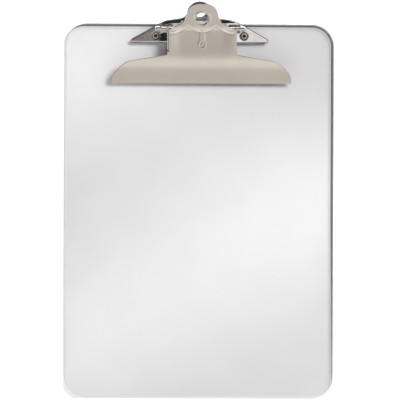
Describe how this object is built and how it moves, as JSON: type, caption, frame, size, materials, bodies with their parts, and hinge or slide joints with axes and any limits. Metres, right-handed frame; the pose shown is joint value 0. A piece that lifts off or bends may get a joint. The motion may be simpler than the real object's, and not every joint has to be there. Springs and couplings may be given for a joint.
{
  "type": "clipboard",
  "caption": "Clear rigid letter-size clipboard with a wide sprung metal lever clip riveted at its top edge and a hang hole in each tab.",
  "frame": {"origin": "centre of the board's flat back face", "axes": "+Y up the board towards the clip, +Z out of the board's front face, +X to the right seen from the front"},
  "size_m": [0.2286, 0.3368, 0.0272],
  "materials": {
    "clear_acrylic": "clear, polished",
    "nickel_plate": "satin nickel plate",
    "bright_plate": "bright nickel plate",
    "pin_steel": "bright drawn wire",
    "spring_steel": "oiled spring wire",
    "rivet_steel": "plated, slightly worn"
  },
  "bodies": {
    "base": {"board": "clear_acrylic", "base_plate": "bright_plate", "rivets": "rivet_steel", "hinge_pin": "pin_steel", "torsion_spring": "spring_steel"},
    "jaw": {"top_plate": "nickel_plate"}
  },
  "joints": [
    {"name": "jaw_hinge", "type": "hinge", "parent": "base", "child": "jaw", "pos_m": [0, 0.1543, 0.012], "axis": [-1, 0, 0], "range_deg": [0, 46], "stiffness_Nm_per_rad": 0.6, "springref_deg": -34.38, "deforming": ["torsion_spring"]}
  ]
}
